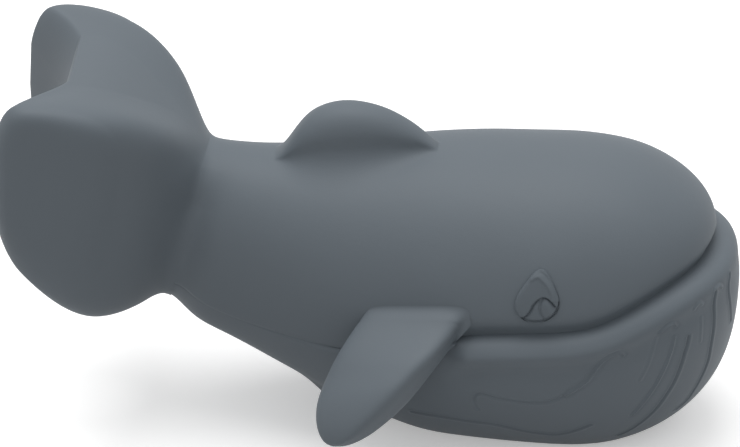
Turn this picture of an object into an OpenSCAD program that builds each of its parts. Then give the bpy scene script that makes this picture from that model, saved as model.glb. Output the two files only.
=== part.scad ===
// Squeaky bath whale: two soft rubber mouldings joined along the mouth line, with plugged-in
// flukes, flippers and eye plaques, and a reed squeaker pressed into the belly.
// +X is the nose, +Y the whale's left, +Z up, and it rests on z = 0 with its box centred there.

/* [Body] */
// Length from the tail joint to the tip of the upper head
body_len = 107; // [96:1:120]
// Height of the body at the forehead
body_h = 61.5; // [57:0.5:68]
// Width of the body behind the jaw
body_w = 55; // [50:1:61]
// Length of the rounded front of the head
nose_len = 36; // [31:1:41]
// Thickness of the rubber wall
wall = 2.4; // [1.8:0.1:3]
// Thickness of the flat floor that the whale rests on
floor_t = 4.5; // [3:0.5:6]

/* [Mouth] */
// How far the lower lip stands out past the upper head at the tip
lip_reach = 5; // [3:0.5:6.5]
// How far the lower lip stands out at the sides
lip_side = 1.4; // [0.6:0.2:2.4]
// Height of the lip's rounded upper edge
lip_h = 4.5; // [3:0.5:6]

/* [Dorsal fin] */
// Height of the fin above the back
fin_h = 9.5; // [7:0.5:13]
// Length of the fin along the back
fin_len = 32; // [26:1:36]
// Thickness of the fin at its foot
fin_t = 15; // [12:1:18]

/* [Tail] */
// Length of the flukes, from the tail joint to the trailing edge
tail_len = 37.5; // [33:0.5:42]
// Width across the flukes
tail_w = 49; // [43:1:55]
// Height of the flukes' rear corners above the table
tail_top = 77; // [73:0.5:82]
// Depth of the notch in the trailing edge
notch = 13; // [9:1:16]
// How far the trailing face leans forward at the rear corners
rear_lean = 4.5; // [2:0.5:6]
// Thickness of the flukes' wall
tail_wall = 2; // [1.6:0.1:2.6]

/* [Flippers] */
// Length of a flipper, from its root to its tip
flipper_len = 28.5; // [23:0.5:33]
// Chord of a flipper at its root
flipper_chord = 22; // [18:1:25]
// Thickness of a flipper at its root
flipper_t = 9.5; // [8:0.5:11]
// Angle by which a flipper droops
flipper_droop = 50; // [42:1:58]
// Angle by which a flipper sweeps back
flipper_sweep = 28; // [16:1:34]
// Angle by which a flipper's front edge turns out and up
flipper_pitch = 27; // [10:1:34]

/* [Eyes] */
// Height of an eye plaque
eye_h = 10.5; // [8:0.5:12.5]
// Length of an eye plaque
eye_l = 9.6; // [7:0.5:12]
// How far an eye plaque stands proud
eye_proud = 0.8; // [0.5:0.1:1.2]

/* [Squeaker] */
// Outer diameter of the squeaker's barrel
barrel_d = 11.5; // [10:0.5:13]
// Length of the squeaker's barrel
barrel_len = 13; // [12:0.5:16]
// Diameter of the squeaker's flange
flange_d = 15; // [14.5:0.5:17]

/* [Fits] */
// Radial clearance between a stem or barrel and its hole
fit = 0.05; // [0.02:0.01:0.1]
// Gap between a soft piece and the skin that it lies on
seat_gap = 0.1; // [0.05:0.05:0.3]

/* [Hidden] */
$fn = 48;

rubber = [0.30, 0.33, 0.36];
plaque = [0.28, 0.31, 0.34];
white_plastic = [0.88, 0.88, 0.85];
reed_metal = [0.80, 0.66, 0.38];

overrun = 1;
head_share = 1 - nose_len / body_len;

// The round belly is cut flat at z = 0, this far above its lowest line
sole_h = 3.5;

// Stations along the body, as shares: place along its length, then the heights of the widest
// line, the back and the keel, the half width, the height of the seam and the lip's strength
form_shares = [
    [0.00, 0.670, 0.955, 0.395, 0.235, 0.540, 0.10],
    [0.11, 0.610, 0.940, 0.305, 0.285, 0.480, 0.12],
    [0.22, 0.560, 0.940, 0.185, 0.355, 0.445, 0.15],
    [0.33, 0.530, 0.955, 0.095, 0.420, 0.445, 0.30],
    [0.45, 0.520, 0.980, 0.025, 0.470, 0.500, 0.75],
    [0.56, 0.550, 0.990, 0.005, 0.495, 0.570, 1.00],
    [0.67, 0.580, 0.992, -0.008, 0.500, 0.580, 1.00],
    [0.78, 0.600, 1.000, -0.015, 0.500, 0.600, 1.00],
    [0.86, 0.650, 1.000, -0.005, 0.500, 0.650, 1.05],
    [0.93, 0.690, 0.980, 0.010, 0.500, 0.690, 1.25],
    [1.00, 0.710, 0.955, 0.025, 0.500, 0.710, 1.60]];

// Powers of the superellipses: 2 is round, more is fuller
section_power = 2.15;
jaw_power = 2;
plan_power = 2.2;
brow_power = 2.6;
chin_power = 2.8;

// The flat sole runs on behind the round belly as a narrow pad, between these shares
pad_extra = 0.6;
pad_half_w = 8;
pad_from_share = 0.20;
pad_full_share = 0.32;

// Slope of the tail joint, and the share of the body over which it fades
joint_slope = 0.23;
joint_fade_share = 0.25;

// A smooth curve through column k of a table
function span(t, tab, i = 0) = i >= len(tab) - 2 || t < tab[i + 1][0] ? i : span(t, tab, i + 1);
function slope_at(tab, k, i) = let (a = max(i - 1, 0), b = min(i + 1, len(tab) - 1))
    (tab[b][k] - tab[a][k]) / (tab[b][0] - tab[a][0]);
function curve(t, tab, k) = let (i = span(t, tab), h = tab[i + 1][0] - tab[i][0], u = (t - tab[i][0]) / h)
    tab[i][k] * (1 + 2 * u) * (1 - u) * (1 - u) + tab[i + 1][k] * u * u * (3 - 2 * u)
    + h * u * (1 - u) * (slope_at(tab, k, i) * (1 - u) - slope_at(tab, k, i + 1) * u);
function smooth(v) = let (c = min(1, max(0, v))) c * c * (3 - 2 * c);
function signed_pow(v, p) = sign(v) * pow(abs(v), p);
function round_off(u, p) = pow(max(0, 1 - pow(max(0, u), p)), 1 / p);
function flip(p) = [p[0], -p[1], p[2]];

// Sizes of the body at the share a of its length
function nose_u(a) = max(0, (a - head_share) / (1 - head_share));
function level(share) = (body_h + sole_h) * share - sole_h;
function mid_z(a) = level(curve(a, form_shares, 1));
function back_z(a) = level(curve(a, form_shares, 2));
function keel_z(a) = level(curve(a, form_shares, 3));
function half_w(a) = body_w * curve(a, form_shares, 4);
function seam_z(a) = a > head_share ? mid_z(a) : level(curve(a, form_shares, 5));
function lip_share(a) = curve(a, form_shares, 6);
function inner_a(a) = a > head_share ? a : wall / body_len + a * (1 - wall / body_len / head_share);

// The flukes, as shares: place along their length, half width, heights of the ridge and the
// keel, depth of the valley and the height of the widest line. They start as the body ends
tail_shares = [
    [0.00, half_w(0) / tail_w, back_z(0) / tail_top, keel_z(0) / tail_top, 0, mid_z(0) / tail_top],
    [0.15, 0.322, 0.808, 0.313, 0.019, 0.605],
    [0.30, 0.415, 0.897, 0.311, 0.045, 0.694],
    [0.50, 0.500, 0.972, 0.296, 0.060, 0.740],
    [0.75, 0.520, 1.008, 0.296, 0.042, 0.772],
    [1.00, 0.510, 1.008, 0.318, 0.018, 0.772]];
tail_rows = 22;
tail_cols = 40;
cavity_rows = 12;
cavity_cols = 24;
// Where each side of the section starts to round off towards the trailing edge, and how fully
side_round = [0.80, 4];
top_round = [0.92, 5];
low_round = [0.52, 2.3];
// How much squarer the section grows above and below its widest line
ridge_extra = 12;
ridge_from_share = 1;
belly_extra = 0.6;
belly_from_share = 0.4;
notch_share = 0.45;
// How much thicker the hollow's rear wall is than its others
rear_extra = 1.7;

function ease(q, r) = round_off((q - r[0]) / (1 - r[0]), r[1]);
// A point of the flukes, seen from the tail joint
function tail_point(q, th, inset = 0) = let (
    front = inset / tail_len, b = front + q * (1 - (1 + rear_extra) * front),
    w = (tail_w * curve(b, tail_shares, 1) - inset) * ease(q, side_round),
    top = tail_top * curve(b, tail_shares, 2) - inset,
    low = tail_top * curve(b, tail_shares, 3) + inset,
    m = tail_top * curve(b, tail_shares, 5),
    n = section_power + (th < 180 ? ridge_extra * smooth(b / ridge_from_share)
        : belly_extra * smooth(b / belly_from_share)),
    y = w * signed_pow(cos(th), 2 / n),
    v = w > 0 ? y / w : 0,
    dip = tail_top * curve(b, tail_shares, 4) * pow(1 - v * v, 2),
    s = signed_pow(sin(th), 2 / n),
    z = m + (th < 180 ? ((top - m) * s - dip) * ease(q, top_round) : (m - low) * s * ease(q, low_round)),
    g = y / (notch_share * tail_w),
    x_front = joint_slope * (z - mid_z(0)),
    x_rear = notch * max(0, 1 - g * g) + rear_lean * pow(max(0, z - m) / (top - m), 3) - tail_len)
    [x_front + (x_rear - x_front) * b, y, z];

function tail_ring(q, n, inset = 0) = [for (j = [0:n - 1]) tail_point(q, 360 * j / n, inset)];
tail_reach = max([for (i = [0:tail_rows - 1])
    for (p = tail_ring(sin(90 * i / tail_rows), tail_cols)) -p[0]]);

// The box is centred on the origin: from the trailing edge to the tip of the lip
overall = tail_reach + body_len + lip_reach;
x_joint = tail_reach - overall / 2;
x_head = x_joint + body_len - nose_len;

// A place along the body: the tail end is cut on a slope that fades towards the middle
function place_x(a, z, reach) = joint_slope * (z - mid_z(0)) * (1 - smooth(a / joint_fade_share))
    + (a > head_share ? x_head + nose_u(a) * (nose_len + reach) : x_joint + a * body_len);

// A point on the body at the angle th above its widest line, moved inwards by inset
function body_point(a, th, inset = 0) = let (
    u = nose_u(a),
    y = (half_w(a) - inset) * round_off(u, plan_power) * signed_pow(cos(th), 2 / section_power),
    up = (back_z(a) - mid_z(a) - inset) * round_off(u, brow_power),
    down = (mid_z(a) - keel_z(a) - inset) * round_off(u, chin_power),
    z = mid_z(a) + (th > 0 ? up : down) * signed_pow(sin(th), 2 / section_power))
    [place_x(a, z, -inset), y, z];

// The angle on the section at which the seam lies
function seam_angle(a) = let (
    rise = seam_z(a) - mid_z(a),
    q = rise / (rise < 0 ? mid_z(a) - keel_z(a) : back_z(a) - mid_z(a)))
    a > head_share ? 0 : sign(q) * asin(min(1, pow(abs(q), section_power / 2)));

// The dorsal fin is a rise of the back: place along the fin, height and half thickness
fin_x = x_joint + 0.32 * body_len;
fin_shares = [[0, 0, 0.30], [0.08, 0.45, 0.62], [0.18, 0.80, 0.85], [0.32, 0.98, 1], [0.48, 1, 1],
    [0.66, 0.83, 0.86], [0.82, 0.52, 0.62], [1, 0, 0.25]];
fin_power = 3.4;
fin_low_angle = 30;
function fin_rise(x, y) = let (t = (x - fin_x) / fin_len + 0.5)
    t <= 0 || t >= 1 ? 0 : fin_h * curve(t, fin_shares, 1)
    * round_off(abs(y) / (fin_t / 2 * curve(t, fin_shares, 2)), fin_power);
function back_point(a, th) = let (p = body_point(a, th))
    th < fin_low_angle ? p : [p[0], p[1], p[2] + fin_rise(p[0], p[1])];

// The lower jaw and belly: widest just under the lip, and cut flat along the keel
function lip_r(a) = lip_h * lip_share(a);
function jaw_mid(a) = mid_z(a) - lip_r(a);
function jaw_drop(a) = (jaw_mid(a) - keel_z(a)) * round_off(nose_u(a), chin_power);
function jaw_half(a) = (half_w(a) + lip_side * lip_share(a)) * round_off(nose_u(a), plan_power);
function jaw_start(a) = a > head_share ? 0 :
    asin(min(1, pow(max(0, mid_z(a) - seam_z(a)) / jaw_drop(a), jaw_power / 2)));
function pad_drop(a, y) = (max(0, keel_z(a)) + pad_extra) * exp(-pow(y / pad_half_w, 4))
    * smooth((a - pad_from_share) / (pad_full_share - pad_from_share)) * round_off(nose_u(a), chin_power);
function jaw_point(a, th) = let (
    y = jaw_half(a) * signed_pow(cos(th), 2 / jaw_power),
    z = jaw_mid(a) - jaw_drop(a) * signed_pow(sin(th), 2 / jaw_power))
    [place_x(a, z, lip_reach), y, max(0, z - pad_drop(a, y))];

// The lip is a quarter round from the seam (v = 0) out to the top of the jaw (v = 90)
function lip_point(a, v) = let (rim = body_point(a, seam_angle(a)), crest = jaw_point(a, jaw_start(a)))
    [rim[0] + (crest[0] - rim[0]) * sin(v), rim[1] + (crest[1] - rim[1]) * sin(v),
        crest[2] + (rim[2] - crest[2]) * cos(v)];

// Half the width of the skin at a place on the flank
function side_of(v, reach, p) = pow(max(0, 1 - pow(min(1, abs(v) / reach), p)), 1 / p);
function skin_y(x, z) = let (a = (x - x_joint) / body_len, u = nose_u(a), over = z - mid_z(a))
    z < seam_z(a) ? jaw_half(a) * side_of(min(z - jaw_mid(a), 0), jaw_drop(a), jaw_power)
    : half_w(a) * round_off(u, plan_power) * side_of(over, over < 0 ? mid_z(a) - keel_z(a)
        : (back_z(a) - mid_z(a)) * round_off(u, brow_power), section_power);

// Rows of points run from the tail joint to the last ring before the nose
flank_rows = 36;
nose_rows = 13;
rows = [for (i = [0:flank_rows - 1]) head_share * i / flank_rows,
    for (i = [0:nose_rows - 1]) head_share + (1 - head_share) * sin(90 * i / nose_rows)];
arch_shares = [0, 0.10, 0.20, 0.31, 0.42, 0.52, 0.60, 0.67, 0.72, 0.755, 0.78, 0.80, 0.82, 0.845,
    0.88, 0.94, 1];
jaw_shares = [0.08, 0.17, 0.27, 0.38, 0.50, 0.62, 0.72, 0.81, 0.90, 1];
lip_cols = 4;
inner_cols = 7;

function over_back(left) = concat([for (p = left) flip(p)], [for (i = [len(left) - 2:-1:0]) left[i]]);
function under_keel(left) = concat(left, [for (i = [len(left) - 2:-1:0]) flip(left[i])]);
function back_row(a) = let (s = seam_angle(a))
    over_back([for (c = arch_shares) back_point(a, s + (90 - s) * c)]);
function back_inner_row(a) = let (b = inner_a(a), s = seam_angle(b))
    over_back([for (i = [0:inner_cols]) body_point(b, s + (90 - s) * i / inner_cols, wall)]);
function belly_row(a) = let (s = jaw_start(a))
    under_keel(concat([for (i = [0:lip_cols]) lip_point(a, 90 * i / lip_cols)],
        [for (c = jaw_shares) jaw_point(a, s + (90 - s) * c)]));
function belly_inner_row(a) = let (b = inner_a(a), s = seam_angle(b))
    under_keel([for (i = [0:inner_cols]) let (p = body_point(b, s - (90 + s) * i / inner_cols, wall))
        [p[0], p[1], max(floor_t, p[2])]]);

// Faces between m rows of n points that start at index o, and the same faces turned over
function strip(o, n, m) = [for (i = [0:m - 2]) for (j = [0:n - 2]) let (a = o + i * n + j)
    each [[a, a + 1, a + n + 1], [a, a + n + 1, a + n]]];
function turned(faces) = [for (f = faces) [f[0], f[2], f[1]]];

// A hollow half of the skin. Outer and inner rows meet in a rim along the seam, a wall closes
// the tail end, and each pair of outer columns ends in one of the tips at the nose
module half_skin(outer, inner, tips, inner_tip) {
    m = len(outer);
    n = len(outer[0]);
    k = len(inner[0]);
    inner_0 = m * n;
    tips_0 = inner_0 + m * k;
    inner_end = tips_0 + len(tips);
    last = (m - 1) * n;
    inner_last = inner_0 + (m - 1) * k;
    tip_of = [for (j = [0:n - 1]) tips_0 + min(min(j, n - 1 - j), len(tips) - 1)];
    nose_faces = [for (j = [0:n - 2]) each tip_of[j] == tip_of[j + 1]
        ? [[last + j, last + j + 1, tip_of[j]]]
        : [[last + j, last + j + 1, tip_of[j + 1]], [last + j, tip_of[j + 1], tip_of[j]]]];
    right_rim = [for (i = [0:m - 2]) let (a = i * n, b = inner_0 + i * k)
        each [[a, a + n, b + k], [a, b + k, b]]];
    left_rim = [for (i = [0:m - 2]) let (a = i * n + n - 1, b = inner_0 + i * k + k - 1)
        each [[a, b + k, a + n], [a, b, b + k]]];
    end_rims = [[last, tips_0, inner_end], [last, inner_end, inner_last],
        [last + n - 1, inner_end, tips_0], [last + n - 1, inner_last + k - 1, inner_end],
        [0, inner_0 + k - 1, n - 1], [0, inner_0, inner_0 + k - 1]];
    polyhedron(concat([for (r = outer) each r], [for (r = inner) each r], tips, [inner_tip]),
        concat(strip(0, n, m), turned(strip(inner_0, k, m)), nose_faces,
            [for (j = [0:k - 2]) [inner_last + j, inner_end, inner_last + j + 1]],
            [for (j = [1:n - 2]) [0, j + 1, j]],
            [for (j = [1:k - 2]) [inner_0, inner_0 + j, inner_0 + j + 1]],
            right_rim, left_rim, end_rims), 10);
}

// A closed form from rings of points and a point at each end
module lofted(rings, first, last) {
    m = len(rings);
    n = len(rings[0]);
    polyhedron(concat([for (r = rings) each r], [first, last]), concat(
        [for (i = [0:m - 2]) for (j = [0:n - 1]) let (a = i * n + j, b = i * n + (j + 1) % n)
            each [[a, b, b + n], [a, b + n, a + n]]],
        [for (j = [0:n - 1]) [j, m * n, (j + 1) % n]],
        [for (j = [0:n - 1]) [(m - 1) * n + j, (m - 1) * n + (j + 1) % n, m * n + 1]]), 10);
}

// A stem with a barb, pushed through a round hole in the wall: it starts inside its own piece
barb_extra = 1.4;
barb_h = 1.6;
stem_root = 0.4;
grip = 2.2 * wall;
module stem(d) {
    translate([0, 0, -stem_root]) cylinder(d = d, h = stem_root + grip + barb_h);
    translate([0, 0, grip]) cylinder(d1 = d + 2 * barb_extra, d2 = d, h = barb_h);
}
module stem_hole(d) translate([0, 0, -overrun]) cylinder(d = d + 2 * fit, h = grip + 2 * overrun);

// Where the loose pieces sit on the skin
flipper_stem_d = 5;
flipper_x = x_joint + 0.44 * body_len;
flipper_z = level(0.58);
eye_peg_d = 3;
eye_x = x_joint + 0.68 * body_len;
eye_z = level(0.70);
neck_d = 15;
neck_t = 2;
neck_z = level(0.755);
neck_x = x_joint + joint_slope * (neck_z - mid_z(0));
module at_flank(x, z) translate([x, -skin_y(x, z), z]) rotate([-90, 0, 0]) children();
module at_neck() translate([neck_x, 0, neck_z]) rotate([0, 90 + atan(joint_slope), 0]) children();
module on_both_sides() {
    children();
    mirror([0, 1, 0]) children();
}

module back_moulding() color(rubber) difference() {
    half_skin([for (a = rows) back_row(a)], [for (a = rows) back_inner_row(a)],
        [body_point(1, 0)], body_point(1, 0, wall));
    on_both_sides() {
        at_flank(flipper_x, flipper_z) stem_hole(flipper_stem_d);
        at_flank(eye_x, eye_z) stem_hole(eye_peg_d);
    }
    at_neck() stem_hole(neck_d);
}

// The squeaker's barrel stands in a collar on the belly's floor and snaps in with a bead
squeaker_x = x_joint + 0.57 * body_len;
collar_t = 2.6;
collar_h = barrel_len - 2;
collar_from = 2;
flange_t = 1.4;
flange_recess = 0.4;
bead_out = 0.6;
bead_z = 7;
bead_h = 1.2;
block_floor = flange_recess + flange_t;
module at_squeaker() translate([squeaker_x, 0, 0]) children();

module belly_moulding() color(rubber) difference() {
    union() {
        half_skin([for (a = rows) belly_row(a)], [for (a = rows) belly_inner_row(a)],
            [for (i = [0:lip_cols]) lip_point(1, 90 * i / lip_cols)], body_point(1, 0, wall));
        at_squeaker() translate([0, 0, collar_from]) {
            cylinder(d = flange_d + 2 * collar_t, h = block_floor + collar_t - collar_from);
            cylinder(d = barrel_d + 2 * collar_t, h = collar_h - collar_from);
        }
    }
    at_squeaker() translate([0, 0, -overrun]) {
        cylinder(d = barrel_d + 2 * fit, h = collar_h + 2 * overrun);
        cylinder(d = flange_d + 2 * fit, h = block_floor + overrun);
    }
    at_squeaker() translate([0, 0, bead_z - fit])
        cylinder(d = barrel_d + 2 * bead_out + 2 * fit, h = bead_h + 2 * fit);
}

module flukes_form(row_n, col_n, inset) translate([x_joint, 0, 0])
    lofted([for (i = [0:row_n - 1]) tail_ring(sin(90 * i / row_n), col_n, inset)],
        (tail_point(0, 0, inset) + tail_point(0, 180, inset)) / 2, tail_point(1, 0, inset));

// The flukes are hollow, and their neck opens into the body
module tail_flukes() color(rubber) difference() {
    union() {
        flukes_form(tail_rows, tail_cols, 0);
        at_neck() stem(neck_d);
    }
    flukes_form(cavity_rows, cavity_cols, tail_wall);
    at_neck() translate([0, 0, -2 * tail_wall])
        cylinder(d = neck_d - 2 * neck_t, h = 2 * tail_wall + grip + barb_h + overrun);
}

// A flipper, as shares: place along its length, half chord and half thickness. Its root
// follows the flank, and the paddle droops and sweeps back
paddle_shares = [[0, 0.50, 0.50], [0.3, 0.48, 0.49], [0.6, 0.42, 0.45], [0.85, 0.34, 0.38],
    [1, 0.28, 0.32]];
paddle_rows = 12;
paddle_cols = 22;
paddle_power = 3.4;
tip_round = [0.55, 2.4];
root_rings = 4;
// How much further than its root the rest of a flipper stays off the flank
flank_gap = 2 * seat_gap;
function paddle_point(t, ph, k = 1) = let (
    r = ease(t, tip_round) * k,
    across = -flipper_chord * curve(t, paddle_shares, 1) * r * signed_pow(cos(ph), 2 / paddle_power),
    through = flipper_t * curve(t, paddle_shares, 2) * r * signed_pow(sin(ph), 2 / paddle_power),
    x = flipper_x - flipper_len * t * sin(flipper_sweep)
        + across * cos(flipper_pitch) - through * sin(flipper_pitch),
    n = through * cos(flipper_pitch) + across * sin(flipper_pitch),
    reach = flipper_len * t * cos(flipper_sweep),
    z = flipper_z - reach * sin(flipper_droop) + n * cos(flipper_droop),
    seat = skin_y(x, z) + seat_gap,
    y = skin_y(flipper_x, flipper_z) + seat_gap + reach * cos(flipper_droop) + n * sin(flipper_droop))
    [x, -(t == 0 ? seat : max(seat + flank_gap, y)), z];
module flipper() color(rubber) {
    lofted(concat(
        [for (i = [1:root_rings - 1])
            [for (j = [0:paddle_cols - 1]) paddle_point(0, 360 * j / paddle_cols, i / root_rings)]],
        [for (i = [0:paddle_rows - 1]) let (t = sin(90 * i / paddle_rows))
            [for (j = [0:paddle_cols - 1]) paddle_point(t, 360 * j / paddle_cols)]]),
        paddle_point(0, 0, 0), paddle_point(1, 0));
    at_flank(flipper_x, flipper_z) stem(flipper_stem_d);
}
module flipper_right() flipper();
module flipper_left() mirror([0, 1, 0]) flipper();

// An eye plaque: a rounded teardrop, point up, that follows the flank on a round peg
eye_cols = 28;
eye_rings = 3;
eye_taper_share = 0.42;
eye_low_share = 0.4;
// Rings of the domed front: share of the outline, share of the height
dome_shares = [[1, 0.60], [0.93, 0.95], [0.65, 1], [0.33, 1]];
function eye_point(ph, k, lift) = let (
    narrow = 1 - eye_taper_share * smooth((sin(ph) + eye_low_share) / (1 + eye_low_share)),
    x = eye_x - eye_l / 2 * k * cos(ph) * narrow, z = eye_z + eye_h / 2 * k * sin(ph))
    [x, -skin_y(x, z) - lift, z];
module eye() color(plaque) {
    lofted(concat(
        [for (i = [1:eye_rings])
            [for (j = [0:eye_cols - 1]) eye_point(360 * j / eye_cols, i / eye_rings, seat_gap)]],
        [for (v = dome_shares) [for (j = [0:eye_cols - 1])
            eye_point(360 * j / eye_cols, v[0], seat_gap + (eye_proud - seat_gap) * v[1])]]),
        eye_point(0, 0, seat_gap), eye_point(0, 0, eye_proud));
    at_flank(eye_x, eye_z) translate([0, 0, -eye_proud / 2])
        cylinder(d = eye_peg_d, h = eye_proud / 2 + grip);
}
module eye_right() eye();
module eye_left() mirror([0, 1, 0]) eye();

// The squeaker: a flanged barrel holds a block, and a reed is wedged over the block's channel
barrel_t = 1.1;
mouth_d = 4.5;
block_d = barrel_d - 2 * barrel_t - 2 * fit;
block_base = 4;
block_h = 10;
channel_w = 2.2;
reed_w = 4.2;
reed_t = 0.3;
reed_len = 9;
reed_foot = 2.4;
reed_play = 0.2;
reed_lean = 4;
reed_y = 0.6;
wedge_t = 1.2;
pivot_z = block_floor + block_base;

module squeaker_barrel() color(white_plastic) at_squeaker() difference() {
    union() {
        translate([0, 0, flange_recess]) {
            cylinder(d = flange_d, h = flange_t);
            cylinder(d = barrel_d, h = barrel_len);
        }
        translate([0, 0, bead_z]) cylinder(d = barrel_d + 2 * bead_out, h = bead_h);
    }
    translate([0, 0, block_floor]) cylinder(d = barrel_d - 2 * barrel_t, h = barrel_len);
    cylinder(d = mouth_d, h = block_floor + overrun);
}

// The slot in the block takes the reed's foot, with the wedge in front of it
module reed_slot() translate([-reed_w / 2 - reed_play, reed_y - reed_play, pivot_z - reed_foot - reed_play])
    cube([reed_w + 2 * reed_play, reed_t + 3 * reed_play + wedge_t, reed_foot + reed_play + overrun]);

module reed_block() color(white_plastic) at_squeaker() difference() {
    union() {
        translate([0, 0, block_floor]) cylinder(d = block_d, h = block_base);
        intersection() {
            translate([0, 0, block_floor]) cylinder(d = block_d, h = block_h);
            translate([0, reed_y - reed_play, pivot_z]) rotate([reed_lean, 0, 0])
                translate([-block_d / 2, -block_d, -overrun]) cube([block_d, block_d, block_h]);
        }
    }
    translate([0, -channel_w / 2, block_floor - overrun])
        cylinder(d = channel_w, h = block_h - channel_w + overrun);
    translate([-channel_w / 2, -channel_w / 2, pivot_z])
        cube([channel_w, block_d, block_h - block_base - channel_w]);
    reed_slot();
}

module reed() color(reed_metal) at_squeaker()
    translate([-reed_w / 2, reed_y, pivot_z - reed_foot]) cube([reed_w, reed_t, reed_len]);

module reed_wedge() color(white_plastic) at_squeaker()
    translate([-reed_w / 2, reed_y + reed_t + reed_play, pivot_z - reed_foot])
        cube([reed_w, wedge_t, reed_foot + wedge_t]);

back_moulding();
belly_moulding();
tail_flukes();
flipper_right();
flipper_left();
eye_right();
eye_left();
squeaker_barrel();
reed_block();
reed();
reed_wedge();
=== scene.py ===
import math
import bpy
import bmesh
import numpy as np
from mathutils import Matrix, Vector


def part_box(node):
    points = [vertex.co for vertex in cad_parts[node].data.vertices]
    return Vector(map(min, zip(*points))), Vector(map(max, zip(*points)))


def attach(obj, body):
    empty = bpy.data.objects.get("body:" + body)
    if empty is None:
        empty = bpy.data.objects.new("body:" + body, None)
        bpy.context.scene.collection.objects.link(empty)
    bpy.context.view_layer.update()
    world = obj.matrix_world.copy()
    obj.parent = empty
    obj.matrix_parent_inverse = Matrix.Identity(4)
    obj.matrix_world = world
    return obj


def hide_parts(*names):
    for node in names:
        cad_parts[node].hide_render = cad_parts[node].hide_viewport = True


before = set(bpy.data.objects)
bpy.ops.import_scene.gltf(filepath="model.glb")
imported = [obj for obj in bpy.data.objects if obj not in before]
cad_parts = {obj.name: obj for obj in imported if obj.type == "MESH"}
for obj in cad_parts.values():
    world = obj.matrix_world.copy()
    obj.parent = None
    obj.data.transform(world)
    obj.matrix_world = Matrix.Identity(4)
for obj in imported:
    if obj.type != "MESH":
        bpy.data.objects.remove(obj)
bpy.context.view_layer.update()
mm = 0.001
sharpAngle = 32  # degrees between two faces, above which their edge is drawn sharp
mergeWithin, shortEdge = 0.002 * mm, 0.001 * mm
leastStep, leastWidth = 1e-9, 0.001  # millimetres
tiny = 1e-12  # keeps divisors and signs away from nought
print("frame loaded, nodes:", len(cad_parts))

# the camera stands to the whale's right, a little in front of it and 30 degrees up
view = {
    "azimuth": 5, "elevation": 30, "distance": 760 * mm, "lookAt": (0, 0, 33 * mm),
    "pixelsPerMm": 4.9, "imageWidth": 740, "imageHeight": 447, "lookAtPixel": (376, 262),
    "sensor": 36, "clipStart": 10 * mm,
}


def makeCamera():
    turn, lift = math.radians(view["azimuth"]), math.radians(view["elevation"])
    flat = math.cos(lift)
    back = Vector((math.sin(turn) * flat, -math.cos(turn) * flat, math.sin(lift)))
    width = view["imageWidth"]
    lens = bpy.data.cameras.new("camera")
    lens.sensor_width = view["sensor"]
    lens.lens = view["sensor"] * view["distance"] / (width / view["pixelsPerMm"] * mm)
    lens.shift_x = (width / 2 - view["lookAtPixel"][0]) / width
    lens.shift_y = (view["lookAtPixel"][1] - view["imageHeight"] / 2) / width
    lens.clip_start = view["clipStart"]
    camera = bpy.data.objects.new("camera", lens)
    bpy.context.scene.collection.objects.link(camera)
    camera.location = Vector(view["lookAt"]) + back * view["distance"]
    camera.rotation_euler = back.to_track_quat("Z", "Y").to_euler()
    bpy.context.scene.camera = camera


makeCamera()
print("camera set")


# curves, all in millimetres until a mesh is made
def smoothCurve(table, column, softness):
    # a column of the table against its first one: a spline, and then a little softened
    samples, bellEnd = 800, 3
    along = np.array([row[0] for row in table], float)
    value = np.array([row[column] for row in table], float)
    low = np.maximum(np.arange(len(along)) - 1, 0)
    high = np.minimum(np.arange(len(along)) + 1, len(along) - 1)
    slope = (value[high] - value[low]) / (along[high] - along[low])
    t = np.linspace(0, 1, samples + 1)
    i = np.clip(np.searchsorted(along, t, "right") - 1, 0, len(along) - 2)
    h = along[i + 1] - along[i]
    u = (t - along[i]) / h
    y = (value[i] * (1 + 2 * u) * (1 - u) ** 2 + value[i + 1] * u * u * (3 - 2 * u)
         + h * u * (1 - u) * (slope[i] * (1 - u) - slope[i + 1] * u))
    reach = int(bellEnd * softness * samples)
    bell = np.exp(-0.5 * (np.arange(-reach, reach + 1) / (softness * samples)) ** 2)
    padded = np.concatenate([2 * y[0] - y[reach:0:-1], y, 2 * y[-1] - y[-2:-reach - 2:-1]])
    return t, np.convolve(padded, bell / bell.sum(), "valid")


def smoothStep(v):
    c = np.clip(v, 0, 1)
    return c * c * (3 - 2 * c)


def signedPow(v, p):
    return np.sign(v) * np.abs(v) ** p


def roundOff(u, p):
    # falls from one at nought to nought at one, ever steeper, as a rounded outline does
    return np.maximum(0, 1 - np.clip(u, 0, None) ** p) ** (1 / p)


def closingRows(count):
    # shares from nought to one, closer together towards one, where a piece rounds off
    return np.sin(np.pi / 2 * np.arange(count + 1) / count)


def rowsBySamples(rows, samples):
    # the place along the piece and the share of the way round it, for each row and sample
    return np.meshgrid(rows, np.linspace(0, 1, samples), indexing="ij")


def addedUp(step):
    # how far each point of a row is from the row's first one, from the steps between them
    return np.concatenate([np.zeros((len(step), 1)), np.cumsum(step, axis=1)], axis=1)


def evenly(points, count, weight=None):
    # each row is drawn again with evenly spaced points, or closer ones where the weight is more
    step = np.linalg.norm(np.diff(points, axis=1), axis=2) + leastStep
    if weight is not None:
        step = step * (weight[:, 1:] + weight[:, :-1]) / 2
    along = addedUp(step)
    out = np.empty((len(points), count, 3))
    for r in range(len(points)):
        wanted = np.linspace(0, along[r, -1], count)
        for k in range(3):
            out[r, :, k] = np.interp(wanted, along[r], points[r, :, k])
    return out


def unit(vectors):
    return vectors / (np.linalg.norm(vectors, axis=-1, keepdims=True) + tiny)


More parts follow.
